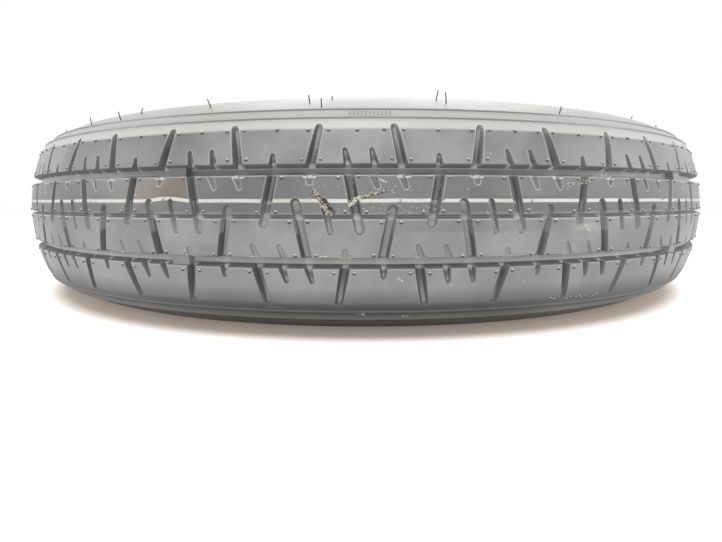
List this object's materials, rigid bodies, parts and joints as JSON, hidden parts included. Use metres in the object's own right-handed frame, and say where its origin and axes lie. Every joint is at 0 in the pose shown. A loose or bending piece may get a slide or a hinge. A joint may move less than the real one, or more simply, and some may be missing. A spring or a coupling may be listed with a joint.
{
  "type": "spare wheel",
  "caption": "Narrow temporary spare wheel for a car: a ribbed and grooved rubber tyre on a welded steel rim and disc, with a snap-in valve, its sprung pin and its cap.",
  "frame": {"origin": "the wheel's centre, on its axis and midway between the rim's flanges", "axes": "+Z along the wheel's axis, out of its outer face, so the wheel lies on its inner sidewall; +X towards the valve"},
  "size_m": [0.581, 0.581, 0.125],
  "materials": {
    "tyre_rubber": "matte, dusty",
    "black_paint": "satin",
    "weld": "satin",
    "valve_rubber": "matte",
    "brass": "satin",
    "cap_plastic": "matte",
    "red_seal": "matte",
    "spring_steel": "bright"
  },
  "bodies": {
    "wheel": {"tyre": "tyre_rubber", "rim": "black_paint", "wheel_disc": "black_paint", "disc_welds": "weld", "valve_body": "valve_rubber", "valve_stem": "brass", "core_plug": "brass", "core_barrel": "brass", "core_barrel_seal": "red_seal", "core_spring": "spring_steel"},
    "cap": {"valve_cap": "cap_plastic", "cap_seal": "valve_rubber"},
    "pin": {"core_pin": "brass", "core_cup": "brass", "core_cup_seal": "valve_rubber"}
  },
  "joints": [
    {"name": "cap_off", "type": "slide", "parent": "wheel", "child": "cap", "axis": [-0.5484, 0, 0.8362], "range_m": [0, 0.012]},
    {"name": "pin_press", "type": "slide", "parent": "wheel", "child": "pin", "axis": [0.5484, 0, -0.8362], "range_m": [0, 0.0015], "stiffness_N_per_m": 800, "springref_m": -0.002, "deforming": ["core_spring"]}
  ]
}
